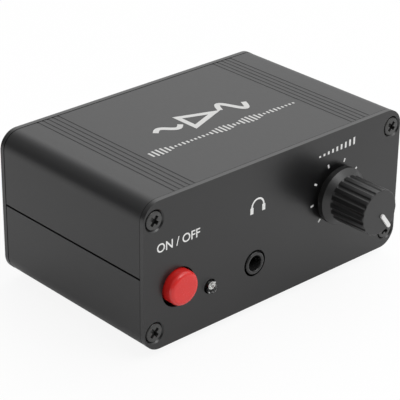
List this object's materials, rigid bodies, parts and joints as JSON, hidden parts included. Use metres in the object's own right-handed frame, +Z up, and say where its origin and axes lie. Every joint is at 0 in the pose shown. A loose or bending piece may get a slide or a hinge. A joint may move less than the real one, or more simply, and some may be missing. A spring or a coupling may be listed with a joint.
{
  "type": "stereo preamplifier",
  "caption": "Small black stereo preamplifier in an extruded aluminium case with a red power button, phones jack, fluted volume knob and line sockets at the back.",
  "frame": {"origin": "under the middle of the whole part, knob and sockets counted, on the plane the feet stand on", "axes": "+X to the right seen from the front, +Y to the back, +Z up; the front plate faces -Y"},
  "size_m": [0.077, 0.0708, 0.0366],
  "materials": {
    "anodised_case": "black anodised, fine satin grain",
    "anodised_plate": "black anodised, satin",
    "black_screw": "black oxide",
    "rubber": "matt",
    "board": "solder mask",
    "red_cap": "satin gloss",
    "white_plastic": "moulded",
    "black_plastic": "moulded",
    "clear_lens": "clear epoxy",
    "tinned": "tinned",
    "brass_plated": "gold-coloured plating",
    "nickel": "nickel plated",
    "knob_plastic": "fine moulded texture",
    "pointer_white": "paint",
    "steel": "plated steel",
    "rotor_plastic": "phenolic",
    "white_insert": "moulded",
    "red_insert": "moulded",
    "chip_black": "epoxy",
    "can_blue": "printed sleeve",
    "can_green": "printed sleeve",
    "film_red": "moulded box",
    "resistor_blue": "lacquer"
  },
  "bodies": {
    "case": {"upper_shell": "anodised_case", "lower_shell": "anodised_case", "front_plate": "anodised_plate", "rear_plate": "anodised_plate", "front_screws": "black_screw", "rear_screws": "black_screw", "rubber_feet": "rubber", "circuit_board": "board", "switch_housing": "black_plastic", "switch_terminals": "tinned", "lamp_lens": "clear_lens", "lamp_leads": "tinned", "jack_body": "black_plastic", "jack_contacts": "brass_plated", "volume_bushing": "brass_plated", "volume_washer": "steel", "volume_nut": "steel", "volume_housing": "steel", "volume_terminals": "tinned", "socket_housings": "black_plastic", "socket_sleeves": "nickel", "white_inserts": "white_insert", "red_inserts": "red_insert", "socket_contacts": "brass_plated", "socket_terminals": "tinned", "inlet_body": "black_plastic", "inlet_pin": "nickel", "inlet_spring": "nickel", "op_amp_socket": "black_plastic", "op_amp_chip": "chip_black", "converter_chip": "chip_black", "supply_capacitors": "can_blue", "coupling_capacitors": "can_green", "film_capacitors": "film_red", "resistors": "resistor_blue", "voltage_regulator": "chip_black", "supply_diode": "chip_black"},
    "button": {"button_cap": "red_cap", "switch_plunger": "white_plastic"},
    "knob": {"volume_knob": "knob_plastic", "knob_pointer": "pointer_white", "volume_shaft": "steel", "volume_rotors": "rotor_plastic"}
  },
  "joints": [
    {"name": "power_button", "type": "slide", "parent": "case", "child": "button", "axis": [0, 1, 0], "range_m": [0, 0.002], "stiffness_N_per_m": 600, "springref_m": -0.001},
    {"name": "volume_turn", "type": "hinge", "parent": "case", "child": "knob", "pos_m": [0.01775, -0.0276, 0.02155], "axis": [0, 1, 0], "range_deg": [-286, 0]}
  ]
}
